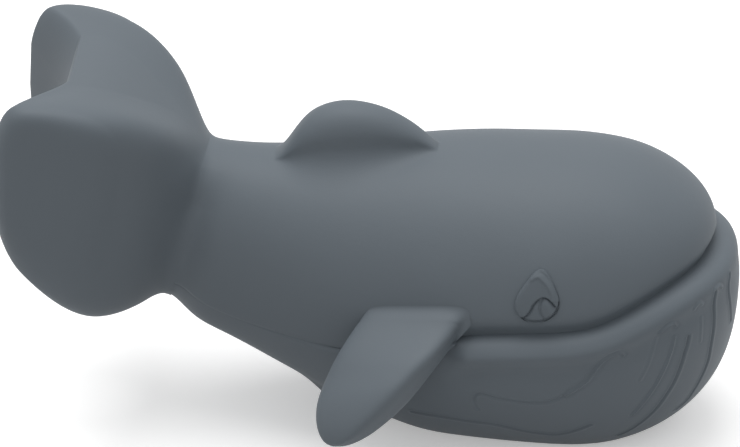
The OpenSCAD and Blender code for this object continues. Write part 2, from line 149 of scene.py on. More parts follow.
def tableNormals(table, outward):
    # unit normals of a table of points, turned to the side that outward says; where the points
    # run together there is no normal, and outward stands in
    together = 1e-7
    normal = np.cross(np.gradient(table, axis=0), np.gradient(table, axis=1))
    size = np.linalg.norm(normal, axis=2, keepdims=True)
    normal = unit(np.where(size > together, unit(normal), outward))
    return normal * np.sign((normal * outward).sum(2, keepdims=True) + tiny)


def distanceTo(points, line):
    # distance from each point to a line that goes straight from one of its points to the next
    shape = points.shape[:-1]
    flat = points.reshape(-1, 3)
    best = np.full(len(flat), np.inf)
    for a, b in zip(line[:-1], line[1:]):
        span = b - a
        t = np.clip(((flat - a) @ span) / (span @ span), 0, 1)
        best = np.minimum(best, np.linalg.norm(flat - a - t[:, None] * span, axis=1))
    return best.reshape(shape)


def roundedLine(points, steps=8):
    # a Catmull-Rom curve through the points
    p = np.array(points, float)
    p = np.concatenate([[2 * p[0] - p[1]], p, [2 * p[-1] - p[-2]]])
    t = np.linspace(0, 1, steps, endpoint=False)[:, None]
    out = []
    for i in range(1, len(p) - 2):
        a, b, c, d = p[i - 1], p[i], p[i + 1], p[i + 2]
        out.append(0.5 * (2 * b + (c - a) * t + (2 * a - 5 * b + 4 * c - d) * t ** 2
                          + (3 * b - a - 3 * c + d) * t ** 3))
    return np.concatenate(out + [p[-2:-1]])


def laidOn(line, places, normals):
    # the line's points moved along the normals onto the surface that the places give
    out = []
    for p in line:
        k = np.linalg.norm(places - p, axis=1).argmin()
        out.append(p - ((p - places[k]) @ normals[k]) * normals[k])
    return np.array(out)


def lineDistances(places, line, reach):
    # distances to the line where they are within reach, and a far value elsewhere
    far = np.full(len(places), 2.0 * reach)
    near = ((places > line.min(0) - reach) & (places < line.max(0) + reach)).all(1)
    far[near] = distanceTo(places[near], line)
    return far


def placesOf(form):
    return np.array([v.co for v in form.verts]) / mm, np.array([v.normal for v in form.verts])


def carveLines(form, rule):
    # lines are pairs of a depth and a curve; the mesh is made finer beside them on both flanks
    bmesh.ops.recalc_face_normals(form, faces=form.faces)
    form.normal_update()
    places, normals = placesOf(form)
    flanks = (np.array([1, 1, 1]), np.array([1, -1, 1]))
    curves = [(depth, laidOn(roundedLine(points) * flank, places, normals))
              for depth, points in rule["lines"] for flank in flanks]
    near = np.full(len(places), False)
    for depth, curve in curves:
        near |= lineDistances(places, curve, rule["reach"]) < rule["reach"]
    close = [e for e in form.edges if near[e.verts[0].index] or near[e.verts[1].index]]
    bmesh.ops.subdivide_edges(form, edges=close, cuts=rule["cuts"], use_grid_fill=True)
    form.normal_update()
    form.verts.index_update()
    places, normals = placesOf(form)
    cut = np.zeros(len(places))
    for depth, curve in curves:
        d = lineDistances(places, curve, rule["reach"]) / rule["width"]
        shape = depth * (np.exp(-d ** 2) - rule["beside"] * np.exp(-(d - rule["besideAt"]) ** 2))
        cut = np.where(np.abs(shape) > np.abs(cut), shape, cut)
    for v in form.verts:
        if abs(cut[v.index]) > rule["least"]:
            v.co -= v.normal * float(cut[v.index]) * mm


# meshes: a bmesh grid takes the places of a table of points
def gridFrom(form, table):
    # the operator's grid is one wide, so each of its corners tells its own row and column
    rows, columns = table.shape[0] - 1, table.shape[1] - 1
    made = bmesh.ops.create_grid(form, x_segments=rows, y_segments=columns, size=0.5)
    corners = [[None] * (columns + 1) for i in range(rows + 1)]
    for v in made["verts"]:
        i, j = round((v.co.x + 0.5) * rows), round((v.co.y + 0.5) * columns)
        v.co = table[i, j] * mm
        corners[i][j] = v
    return corners


def finishPiece(form, name):
    bmesh.ops.remove_doubles(form, verts=form.verts, dist=mergeWithin)
    bmesh.ops.dissolve_degenerate(form, edges=form.edges, dist=shortEdge)
    bmesh.ops.recalc_face_normals(form, faces=form.faces)
    for face in form.faces:
        face.smooth = True
    mesh = bpy.data.meshes.new(name)
    form.to_mesh(mesh)
    form.free()
    mesh.set_sharp_from_angle(angle=math.radians(sharpAngle))
    piece = bpy.data.objects.new(name, mesh)
    bpy.context.scene.collection.objects.link(piece)
    return piece


def loftPiece(name, table, faceAtStart=False):
    form = bmesh.new()
    corners = gridFrom(form, table)
    if faceAtStart:
        form.faces.new(corners[0][:-1])
    return finishPiece(form, name)


def useBoolean(piece, other, operation):
    # cuts or joins another mesh and leaves only the result
    change = piece.modifiers.new("shape", "BOOLEAN")
    change.operation = operation
    change.solver = "EXACT"
    change.object = other
    bpy.context.view_layer.update()
    shaped = piece.evaluated_get(bpy.context.evaluated_depsgraph_get())
    made = bpy.data.meshes.new_from_object(shaped)
    piece.modifiers.clear()
    old = piece.data
    piece.data = made
    made.set_sharp_from_angle(angle=math.radians(sharpAngle))
    made.name = old.name
    bpy.data.meshes.remove(old)
    bpy.data.objects.remove(other)


def addRod(form, base, direction, length, radius, topRadius=None, sides=48):
    # a round bar from its base along a direction
    turned = Vector(direction).to_track_quat("Z", "Y").to_matrix().to_4x4()
    turned.translation = (Vector(base) + Vector(direction).normalized() * length / 2) * mm
    bmesh.ops.create_cone(form, cap_ends=True, segments=sides, radius1=radius * mm,
                          radius2=(radius if topRadius is None else topRadius) * mm,
                          depth=length * mm, matrix=turned)


def rodTool(rods):
    # rods that a boolean uses, in one object
    form = bmesh.new()
    for rod in rods:
        addRod(form, *rod)
    return finishPiece(form, "tool")


# the body: stations are the place along it, the heights of the widest line, the back and the
# keel, the half width, the height of the mouth line and the strength of the lip, all as shares
body = {
    "length": 107, "height": 61.5, "width": 55, "nose": 36, "wall": 2.4, "floor": 4.5, "sole": 3.5,
    "lipReach": 5, "lipSide": 1.4, "lipHeight": 4.5, "jointSlope": 0.23, "jointFade": 0.25,
    "section": 2.15, "jaw": 2, "plan": 2.2, "brow": 2.6, "chin": 2.8,  # powers of the round outlines
    "padExtra": 0.6, "padHalfWidth": 8, "padPower": 4, "padFrom": 0.20, "padFull": 0.32,
    "core": 30, "flankRows": 150, "noseRows": 110, "softness": 0.022,
    "stations": [
        [0.00, 0.670, 0.955, 0.395, 0.235, 0.540, 0.10],
        [0.11, 0.610, 0.940, 0.305, 0.285, 0.480, 0.12],
        [0.22, 0.560, 0.940, 0.185, 0.355, 0.445, 0.15],
        [0.33, 0.530, 0.955, 0.095, 0.420, 0.445, 0.30],
        [0.45, 0.520, 0.980, 0.025, 0.470, 0.500, 0.75],
        [0.56, 0.550, 0.990, 0.005, 0.495, 0.570, 1.00],
        [0.67, 0.566, 0.992, -0.008, 0.500, 0.566, 1.00],
        [0.78, 0.583, 1.000, -0.015, 0.500, 0.583, 1.00],
        [0.86, 0.637, 1.000, -0.005, 0.500, 0.637, 1.05],
        [0.93, 0.686, 0.980, 0.010, 0.500, 0.686, 1.25],
        [1.00, 0.710, 0.955, 0.025, 0.500, 0.710, 1.60]],
}
bodyCurves = [smoothCurve(body["stations"], k, body["softness"]) for k in range(7)]
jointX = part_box("belly_moulding")[1].x / mm - body["lipReach"] - body["length"]
headShare = 1 - body["nose"] / body["length"]
headX = jointX + body["length"] - body["nose"]


# a height from its share, and the body's measures at a place along it: nought at the tail joint
# and one at the tip of the nose
def level(share):
    return (body["height"] + body["sole"]) * share - body["sole"]


def station(a, column):
    return np.interp(a, *bodyCurves[column])


def middleZ(a):
    return level(station(a, 1))


def backZ(a):
    return level(station(a, 2))


def keelZ(a):
    return level(station(a, 3))


def halfWidth(a):
    return body["width"] * station(a, 4)


def seamZ(a):
    return np.where(a > headShare, middleZ(a), np.minimum(level(station(a, 5)), middleZ(a)))


def noseShare(a):
    return np.maximum(0, (a - headShare) / (1 - headShare))


def placeX(a, z, reach):
    # the tail end lies on the joint's slope, which fades towards the middle
    lean = body["jointSlope"] * (z - middleZ(0)) * (1 - smoothStep(a / body["jointFade"]))
    return lean + np.where(a > headShare, headX + noseShare(a) * (body["nose"] + reach),
                           jointX + a * body["length"])


def bodyPoint(a, angle, inset=0):
    # a place on the round skin; the angle is nought at its widest line and rises to the back
    u = noseShare(a)
    p = 2 / body["section"]
    y = (halfWidth(a) - inset) * roundOff(u, body["plan"]) * signedPow(np.cos(angle), p)
    up = (backZ(a) - middleZ(a) - inset) * roundOff(u, body["brow"])
    down = (middleZ(a) - keelZ(a) - inset) * roundOff(u, body["chin"])
    z = middleZ(a) + np.where(angle > 0, up, down) * signedPow(np.sin(angle), p)
    return np.stack([placeX(a, z, -inset), y, z], axis=-1)


def seamAngle(a):
    # the angle at which the two skins meet
    rise = seamZ(a) - middleZ(a)
    share = rise / np.where(rise < 0, middleZ(a) - keelZ(a), backZ(a) - middleZ(a))
    turned = np.arcsin(np.minimum(1, np.abs(share) ** (body["section"] / 2)))
    return np.where(a > headShare, 0, np.sign(share) * turned)


def bodyRows():
    # places of the rows of points from the tail joint to the tip
    nose = headShare + (1 - headShare) * closingRows(body["noseRows"])
    return np.concatenate([headShare * np.arange(body["flankRows"]) / body["flankRows"], nose])


def innerShare(a):
    # the inner skin starts a wall's thickness in front of the joint
    front = body["wall"] / body["length"]
    return np.where(a > headShare, a, front + a * (1 - front / headShare))


# the dorsal fin on the back: place along the fin, its height and its half thickness as shares
fin = {
    "place": 0.32, "height": 10.9, "length": 33, "halfThickness": 5.4, "foot": 0.48, "spread": 1.25,
    "crestPower": 2.3, "footPower": 2.5, "softness": 0.03,
    "shares": [
        [0, 0, 0.50], [0.05, 0.12, 0.62], [0.11, 0.42, 0.76], [0.2, 0.78, 0.9], [0.33, 0.98, 1],
        [0.48, 1, 1], [0.66, 0.83, 0.84], [0.82, 0.52, 0.62], [0.93, 0.22, 0.42], [1, 0, 0.3]],
}
finHeight, finThickness = [smoothCurve(fin["shares"], k, fin["softness"]) for k in (1, 2)]


def finRise(x, y):
    # across the fin: a round crest, an upright side and a hollow foot
    t = (x - jointX - fin["place"] * body["length"]) / fin["length"] + 0.5
    height = np.where((t < 0) | (t > 1), 0, np.clip(np.interp(t, *finHeight), 0, None))
    s = np.abs(y) / (fin["halfThickness"] * np.interp(t, *finThickness))
    crest = roundOff(s, fin["crestPower"])
    hollow = 1 - roundOff(np.clip((1 + fin["spread"] - s) / fin["spread"], 0, 1), fin["footPower"])
    return fin["height"] * height * ((1 - fin["foot"]) * crest + fin["foot"] * hollow)


# the soft valley where the tail joins. Its slopes are how steeply the two pieces would meet, by
# how far their skin faces up (one) or down (minus one) there
joint = {
    "depth": 2.3, "width": 4.6, "round": 3.2, "topRound": 0.15,
    "backFrom": 9, "backRise": 0.1, "backWidth": 5.5,
    "slopes": [(-1, -0.11), (-0.8, 0.05), (-0.5, 0.26), (-0.25, 0.375), (0, 0.485), (0.25, 0.61),
               (0.5, 0.8), (0.8, 0.97), (0.94, 0.75), (1, 0.5)],
}


def tailValley(table):
    # the valley is kept in the joint's plane and is a rise on the back, and a fillet evens out
    # the slopes, so that the skin runs on smoothly from one piece to the other
    y, over = table[:, :, 1], table[:, :, 2] - middleZ(0)
    tall = np.where(over > 0, backZ(0) - middleZ(0), middleZ(0) - keelZ(0))
    p = body["section"] - 1
    across = signedPow(y / halfWidth(0), p) / halfWidth(0)
    side = unit(np.stack([0 * y, across, signedPow(over / tall, p) / tall], axis=-1))
    back = smoothStep((table[:, :, 2] - backZ(0)) / joint["backFrom"] + 1)
    depth = joint["depth"] - (joint["depth"] + joint["backRise"]) * back
    width = joint["width"] + (joint["backWidth"] - joint["width"]) * back
    away = np.abs(table[:, :, 0] - jointX - body["jointSlope"] * over)
    softness = joint["round"] * (joint["topRound"] + (1 - joint["topRound"]) * side[:, :, 1] ** 2)
    slope = np.interp(side[:, :, 2], *np.array(joint["slopes"]).T)
    fillet = slope * (np.sqrt(away ** 2 + softness ** 2) - away)
    return table - side * (depth * np.exp(-(away / width) ** 2) - fillet)[:, :, None]


# how the two skins turn in towards each other, deep along the mouth and fine along the flank
mouth = {"depth": 1.6, "seamDepth": 0.22, "seamWidth": 0.45, "from": 16, "full": 21, "halfStep": 0.02}


def seamWays():
    # the unit way out of the skin at each row of the seam, on the whale's left, from two points
    # half a step of the angle below and above it
    a = bodyRows()[:, None]
    angle = seamAngle(a) + np.array([[-mouth["halfStep"], mouth["halfStep"]]])
    ends = bodyPoint(a + 0 * angle, angle)
    rim = bodyPoint(a, seamAngle(a))[:, 0]
    way = unit(np.cross(np.gradient(rim, axis=0), ends[:, 1] - ends[:, 0]))
    way *= np.sign(way[:, 1:2] + tiny)
    way[-1] = (1, 0, 0)
    return way


def edgeDistances(table):
    # how far each point lies from the nearer side edge, along its row
    along = addedUp(np.linalg.norm(np.diff(table, axis=1), axis=2))
    return np.minimum(along, along[:, -1:] - along)


def mouthShare(table):
    # nought along the flank, one along the mouth
    return smoothStep((table[:, :, 0] - mouth["from"]) / (mouth["full"] - mouth["from"]))


def rollIn(table, mouthWidth):
    opening = mouthShare(table)
    depth = mouth["seamDepth"] + (mouth["depth"] - mouth["seamDepth"]) * opening
    width = mouth["seamWidth"] + (mouthWidth - mouth["seamWidth"]) * opening
    turned = depth * np.exp(-(edgeDistances(table) / width) ** 2)
    ways = np.repeat(seamWays()[:, None], table.shape[1], axis=1)
    ways[:, table.shape[1] // 2:, 1] *= -1
    return tailValley(table - ways * turned[:, :, None])


def outwardFrom(table):
    # from the body's middle line, whose height is the core's, to each point
    centre = table.copy()
    centre[:, :, 1] = 0
    centre[:, :, 2] = body["core"]
    centre[:, :, 0] = np.minimum(centre[:, :, 0], headX)
    return table - centre


def shellPiece(name, outer, inner, carving=None):
    # outer and inner tables make one closed band, and the tail end gets an outer and inner face
    form = bmesh.new()
    corners = gridFrom(form, np.concatenate([outer, inner[:, ::-1], outer[:, :1]], axis=1))
    count = outer.shape[1]
    outerEnd, innerEnd = corners[0][:count], corners[0][count:-1]
    form.faces.new(outerEnd)
    form.faces.new(innerEnd)
    form.faces.new([outerEnd[0], outerEnd[-1], innerEnd[0], innerEnd[-1]])
    bmesh.ops.remove_doubles(form, verts=form.verts, dist=mergeWithin)
    if carving:
        carveLines(form, carving)
    return finishPiece(form, name)


# the upper skin
upper = {"columns": 240, "innerColumns": 30, "samples": 720, "mouthWidth": 2.3}


def upperTable(columns, inset=0):
    a, s = rowsBySamples(innerShare(bodyRows()) if inset else bodyRows(), upper["samples"])
    start = seamAngle(a)
    points = bodyPoint(a, start + (np.pi - 2 * start) * s, inset)
    if not inset:
        points[:, :, 2] += finRise(points[:, :, 0], points[:, :, 1])
    return evenly(points, columns)


def makeUpperSkin():
    outer = rollIn(upperTable(upper["columns"]), upper["mouthWidth"])
    inner = tailValley(upperTable(upper["innerColumns"], body["wall"]))
    skin = shellPiece("upperSkin", outer, inner)
    tools = [stemHole(neck["base"], neck["direction"], neck["radius"])]
    for side in (1, -1):
        tools += [stemHole(*seat(flipper["x"], flipper["z"], side), flipper["stemRadius"]),
                  stemHole(*seat(eye["x"], eye["z"], side), eye["pegRadius"])]
    useBoolean(skin, rodTool(tools), "DIFFERENCE")
    return skin


# the lower skin: the lip is a rounded ledge over a full jaw, and the belly is flat below
lower = {"lipColumns": 18, "jawColumns": 86, "innerColumns": 30, "samples": 240,
         "mouthWidth": 1.1, "lowShare": 0.62, "lowWeight": 0.5, "bead": 1.25, "beadAt": 4.1,
         "beadWidth": 2.2, "noseFade": 0.6, "dent": 0.5, "dentAt": 8, "dentWidth": 2.4}


def lipRadius(a):
    return body["lipHeight"] * station(a, 6)


def jawMiddle(a):
    return middleZ(a) - lipRadius(a)


def jawDrop(a):
    return (jawMiddle(a) - keelZ(a)) * roundOff(noseShare(a), body["chin"])


def jawHalf(a):
    return (halfWidth(a) + body["lipSide"] * station(a, 6)) * roundOff(noseShare(a), body["plan"])


def jawStart(a):
    share = np.maximum(0, middleZ(a) - seamZ(a)) / np.maximum(jawDrop(a), leastWidth)
    return np.where(a > headShare, 0, np.arcsin(np.minimum(1, share ** (body["jaw"] / 2))))


def jawPoint(a, angle):
    # the pad lowers the middle of the belly, and everything below nought is flat
    p = 2 / body["jaw"]
    y = jawHalf(a) * signedPow(np.cos(angle), p)
    z = jawMiddle(a) - jawDrop(a) * signedPow(np.sin(angle), p)
    across = np.exp(-(y / body["padHalfWidth"]) ** body["padPower"])
    pad = ((np.maximum(0, keelZ(a)) + body["padExtra"]) * across
           * smoothStep((a - body["padFrom"]) / (body["padFull"] - body["padFrom"]))
           * roundOff(noseShare(a), body["chin"]))
    return np.stack([placeX(a, z, body["lipReach"]), y, np.maximum(0, z - pad)], axis=-1)


def lipPoint(a, angle):
    # the rounded ledge from the skin's rim out to the jaw's highest line
    rim = bodyPoint(a, seamAngle(a))
    crest = jawPoint(a, jawStart(a))
    out, drop = np.sin(angle)[..., None], np.cos(angle)
    point = rim + (crest - rim) * out
    point[:, :, 2] = crest[:, :, 2] + (rim[:, :, 2] - crest[:, :, 2]) * drop
    return point


def lowerTable():
    a, s = rowsBySamples(bodyRows(), lower["samples"])
    lip = evenly(lipPoint(a, np.pi / 2 * s), lower["lipColumns"])
    start = jawStart(a)
    fine = np.where(s < lower["lowShare"], 1, lower["lowWeight"])
    jaw = evenly(jawPoint(a, start + (np.pi / 2 - start) * s), lower["jawColumns"], fine)
    half = np.concatenate([lip[:, :-1], jaw], axis=1)
    return np.concatenate([half, half[:, -2::-1] * np.array([1, -1, 1])], axis=1)


def lowerInnerTable():
    a, s = rowsBySamples(innerShare(bodyRows()), lower["samples"])
    start = seamAngle(a)
    points = bodyPoint(a, start - (np.pi + 2 * start) * s, body["wall"])
    points[:, :, 2] = np.maximum(body["floor"], points[:, :, 2])
    return evenly(points, lower["innerColumns"])


# the throat's pleats: each line's depth and its places in millimetres, below nought for a ridge
pleats = {
    "width": 0.27, "beside": 0.4, "besideAt": 2.3, "reach": 0.9, "least": 0.0001, "cuts": 2,
    "lines": [
        (0.22, [(22.6, -26.2, 15.3), (22.1, -26.7, 16.7), (21.9, -27.1, 18.2), (22.2, -27.5, 19.3),
                (23, -27.7, 19.9), (24.4, -27.7, 19.7), (26.3, -27.5, 19.1), (31.5, -27.1, 18.2),
                (36.1, -27, 18.4), (39.5, -27.2, 19.9)]),
        (-0.32, [(40.3, -27.3, 20.5), (43, -27.5, 22.6), (44.5, -27.4, 24), (45.7, -27.5, 25.8),
                 (46.8, -27.5, 27.5), (47.9, -27.3, 29.1), (48.7, -27.1, 30), (49.5, -26.9, 30.4),
                 (50.2, -26.7, 30.6), (50.8, -26.5, 30.2), (51.4, -26.3, 29.5)]),
        (-0.32, [(61.5, -22, 34.1), (60.9, -22.4, 35.1), (60, -22.9, 35.2), (59.1, -23.4, 34.5),
                 (58.2, -23.8, 33.6)]),
        (-0.11, [(57.8, -24, 32.4), (57, -24.1, 29), (56.1, -24.1, 25.8), (54.8, -24, 22.7)]),
        (-0.28, [(61.3, -22, 31.6), (60.8, -22.1, 28.8), (59.6, -22, 24.7), (58, -21.9, 20.5),
                 (55.9, -21.5, 16.5), (53.5, -20.9, 12.6)]),
        (0.34, [(64, -20.1, 30.8), (63.7, -20.1, 28.7), (63.2, -20.1, 26.6), (62.4, -19.8, 23.1),
                (61.2, -19.4, 19.3), (59.7, -19, 16.1), (58, -18.4, 12.8), (55.8, -17.9, 9.6),
                (53.1, -17.1, 6.8), (50.8, -16.9, 5.2)]),
        (-0.16, [(64.7, -19.5, 36.9), (65.2, -19.1, 37.6), (65.7, -18.6, 37.9), (66.4, -18.2, 37.2)]),
        (-0.1, [(66.5, -18.2, 34), (66.5, -18, 31.1), (66.4, -17.6, 28.3)]),
        (-0.16, [(68.5, -14.9, 39), (69, -14.1, 39.1), (69.5, -13.5, 38.9), (70.1, -13, 38.3)]),
        (0.34, [(68.7, -15.1, 38.3), (68.8, -15.6, 36.3), (68.8, -15.6, 33.7), (68.8, -15.2, 29.8),
                (68.5, -14.8, 25.7), (68, -13.9, 21.5), (67, -13.4, 17.8), (65.7, -12.8, 14.3),
                (64.2, -12, 11), (62.3, -12.3, 9)]),
        (0.28, [(71.2, -9.7, 39.4), (71.4, -10.7, 37.6), (71.6, -10.7, 35.1), (72, -9.7, 31.6),
                (72.3, -8.2, 27.9)]),
        (0.36, [(9.3, -22.5, 11.8), (15, -23.7, 11.6), (21.1, -23.9, 11), (26.3, -23.8, 10.4),
                (32.5, -22.4, 8.3), (37.3, -21.7, 7.5), (40.3, -21.9, 8.2), (45.2, -23, 11.2)]),
    ],
}


# the squeaker's collar in the belly
collar = {
    "barrelRadius": 5.75, "flangeRadius": 7.5, "wall": 2.6, "height": 11, "from": 2,
    "flangeTop": 1.8, "fit": 0.05, "beadZ": 7, "beadOut": 0.6, "beadHeight": 1.2, "overrun": 1,
}
squeakerX = (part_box("squeaker_barrel")[0].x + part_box("squeaker_barrel")[1].x) / 2 / mm


def addCollar(skin):
    # the collar's wide foot and its tube, then the room for the barrel, its flange and its bead
    c = collar
    foot = c["flangeTop"] + c["wall"] - c["from"]
    rods = [
        ("UNION", c["from"], foot, c["flangeRadius"] + c["wall"]),
        ("UNION", c["from"] + foot / 2, c["height"] - c["from"] - foot / 2,
         c["barrelRadius"] + c["wall"]),
        ("DIFFERENCE", -c["overrun"], c["height"] + 2 * c["overrun"], c["barrelRadius"] + c["fit"]),
        ("DIFFERENCE", -c["overrun"], c["flangeTop"] + c["overrun"], c["flangeRadius"] + c["fit"]),
        ("DIFFERENCE", c["beadZ"] - c["fit"], c["beadHeight"] + 2 * c["fit"],
         c["barrelRadius"] + c["beadOut"] + c["fit"]),
    ]
    for operation, start, length, radius in rods:
        useBoolean(skin, rodTool([((squeakerX, 0, start), (0, 0, 1), length, radius)]), operation)


def lipBead(table, fromRim):
    # the round bead along the lip and the dent below it, which fade along the flank and nose
    bead = lower["bead"] * np.exp(-((fromRim - lower["beadAt"]) / lower["beadWidth"]) ** 2)
    bead -= lower["dent"] * np.exp(-((fromRim - lower["dentAt"]) / lower["dentWidth"]) ** 2)
    return bead * (mouthShare(table) * (1 - lower["noseFade"] * noseShare(bodyRows()))[:, None])


def makeLowerSkin():
    plain = lowerTable()
    outer = rollIn(plain, lower["mouthWidth"])
    bead = lipBead(outer, edgeDistances(plain))
    outer = outer + tableNormals(plain, outwardFrom(plain)) * bead[:, :, None]
    skin = shellPiece("lowerSkin", outer, tailValley(lowerInnerTable()), pleats)
    addCollar(skin)
    return skin


# half the width of the skin at a place on the flank, and a stem's seat there
def sideOf(over, reach, power):
    share = np.minimum(1, np.abs(over) / np.maximum(reach, leastWidth))
    return np.maximum(0, 1 - share ** power) ** (1 / power)


def skinY(x, z):
    a = (np.asarray(x, float) - jointX) / body["length"]
    u = noseShare(a)
    over = z - middleZ(a)
    above = halfWidth(a) * roundOff(u, body["plan"]) * np.where(
        over < 0, sideOf(over, middleZ(a) - keelZ(a), body["section"]),
        sideOf(over, (backZ(a) - middleZ(a)) * roundOff(u, body["brow"]), body["section"]))
    below = jawHalf(a) * sideOf(np.minimum(z - jawMiddle(a), 0), jawDrop(a), body["jaw"])
    return np.where(z < seamZ(a), below, above)


def seat(x, z, side):
    return (x, side * float(skinY(x, z)), z), (0, -side, 0)


def putOnFlank(piece):
    # the piece's place, from its shares of the body's length and height
    piece["x"] = jointX + piece["along"] * body["length"]
    piece["z"] = float(level(piece["up"]))


# the barbed stems that plug the flukes and flippers into the skin, and the holes for them and
# for the eyes' plain pegs
barb = {"walls": 2.2, "out": 1.4, "height": 1.6, "fit": 0.05, "root": 0.4, "clear": 1}
grip = barb["walls"] * body["wall"]  # from a stem's seat to its barb


def stemHole(base, direction, radius):
    back = Vector(base) - Vector(direction).normalized() * barb["clear"]
    return back, direction, grip + 2 * barb["clear"], radius + barb["fit"]


def stemRods(base, direction, radius):
    # a stem that starts inside its own piece, and its barb
    way = Vector(direction).normalized()
    return [(Vector(base) - way * barb["root"], way, barb["root"] + grip + barb["height"], radius),
            (Vector(base) + way * grip, way, barb["height"], radius + barb["out"], radius)]


def addStem(piece, base, direction, radius):
    for rod in stemRods(base, direction, radius):
        useBoolean(piece, rodTool([rod]), "UNION")


# the flukes: stations are the place along them, the half width, the ridge's and the keel's
# height, the valley's depth and the height of the widest line, all as shares
flukes = {
    "length": 37.5, "width": 49, "top": 77, "notch": 13, "lean": 4.5, "wall": 2, "notchShare": 0.45,
    "sideRound": (0.80, 4), "topRound": (0.92, 5), "lowRound": (0.52, 2.3),
    "ridgeExtra": 12, "ridgeFrom": 1, "bellyExtra": 0.6, "bellyFrom": 0.4, "rearExtra": 1.7,
    "rows": 150, "columns": 300, "samples": 720, "innerRows": 14, "innerColumns": 32,
    "softness": 0.03,
    "stations": [
        [0.15, 0.322, 0.836, 0.313, 0.019, 0.605],
        [0.30, 0.415, 0.910, 0.311, 0.045, 0.694],
        [0.50, 0.500, 0.977, 0.296, 0.060, 0.740],
        [0.75, 0.520, 1.008, 0.296, 0.042, 0.772],
        [1.00, 0.510, 1.008, 0.318, 0.018, 0.772]],
}
flukeStart = [0, float(halfWidth(0)) / flukes["width"], float(backZ(0)) / flukes["top"],
              float(keelZ(0)) / flukes["top"], 0, float(middleZ(0)) / flukes["top"]]
flukeCurves = [smoothCurve([flukeStart] + flukes["stations"], k, flukes["softness"])
               for k in range(6)]
neck = {"radius": 7.5, "wall": 2, "up": 0.755}
neck["z"] = float(level(neck["up"]))
neck["base"] = (jointX + body["jointSlope"] * (neck["z"] - float(middleZ(0))), 0, neck["z"])
neck["direction"] = (1, 0, -body["jointSlope"])


def eased(q, rule):
    # one up to the rule's place, and then rounded off with its power
    return roundOff((q - rule[0]) / (1 - rule[0]), rule[1])


def flukePoint(q, angle, inset=0):
    f = flukes
    front = inset / f["length"]
    b = front + q * (1 - (1 + f["rearExtra"]) * front)
    value = [np.interp(b, *curve) for curve in flukeCurves]
    w = (f["width"] * value[1] - inset) * eased(q, f["sideRound"])
    top = f["top"] * value[2] - inset
    low = f["top"] * value[3] + inset
    m = f["top"] * value[5]
    upside = angle < np.pi
    n = body["section"] + np.where(upside, f["ridgeExtra"] * smoothStep(b / f["ridgeFrom"]),
                                   f["bellyExtra"] * smoothStep(b / f["bellyFrom"]))
    y = w * signedPow(np.cos(angle), 2 / n)
    v = y / np.maximum(w, leastWidth)
    dip = f["top"] * value[4] * (1 - v * v) ** 2
    s = signedPow(np.sin(angle), 2 / n)
    z = m + np.where(upside, ((top - m) * s - dip) * eased(q, f["topRound"]),
                     (m - low) * s * eased(q, f["lowRound"]))
    g = y / (f["notchShare"] * f["width"])
    xFront = body["jointSlope"] * (z - middleZ(0))
    lean = f["lean"] * (np.maximum(0, z - m) / (top - m)) ** 3
    xRear = f["notch"] * np.maximum(0, 1 - g * g) + lean - f["length"]
    return np.stack([jointX + xFront + (xRear - xFront) * b, y, z], axis=-1)


def flukeTable(rows, columns, inset=0):
    q, s = rowsBySamples(closingRows(rows), flukes["samples"])
    return evenly(flukePoint(q, 2 * np.pi * s, inset), columns)


def makeFlukes():
    # the hollow goes on through the neck, so that the flukes share the body's air
    f = flukes
    piece = loftPiece("flukes", tailValley(flukeTable(f["rows"], f["columns"])), True)
    addStem(piece, neck["base"], neck["direction"], neck["radius"])
    inside = flukeTable(f["innerRows"], f["innerColumns"], f["wall"])
    useBoolean(piece, loftPiece("hollow", tailValley(inside), True), "DIFFERENCE")
    way = Vector(neck["direction"]).normalized()
    bore = (Vector(neck["base"]) - way * 2 * f["wall"], way,
            2 * f["wall"] + grip + barb["height"] + barb["clear"], neck["radius"] - neck["wall"])
    useBoolean(piece, rodTool([bore]), "DIFFERENCE")
    return piece


# the flippers: place along the paddle, half chord and half thickness as shares
flipper = {
    "along": 0.44, "up": 0.58, "length": 28.5, "chord": 22, "thick": 9.5, "stemRadius": 2.5,
    "droop": 50, "sweep": 28, "rootPitch": 12, "pitch": 26, "twistEnd": 0.6,
    "power": 4.2, "slant": 0.12, "gap": 0.1, "meet": 1.6,
    "rootFrom": -0.13, "rootBlend": 0.12, "rootDrop": 2.2, "dropEnd": 0.4,
    "chordRound": (0.5, 2.3), "topRound": (0.55, 2), "lowRound": (0.85, 2.4),
    "rows": 100, "columns": 160, "rootRows": 14, "samples": 720, "softness": 0.03,
    "stations": [[0, 0.48, 0.46], [0.3, 0.48, 0.52], [0.6, 0.43, 0.54], [0.85, 0.35, 0.48],
                 [1, 0.28, 0.40]],
}
putOnFlank(flipper)
flipperCurves = [smoothCurve(flipper["stations"], k, flipper["softness"]) for k in range(3)]


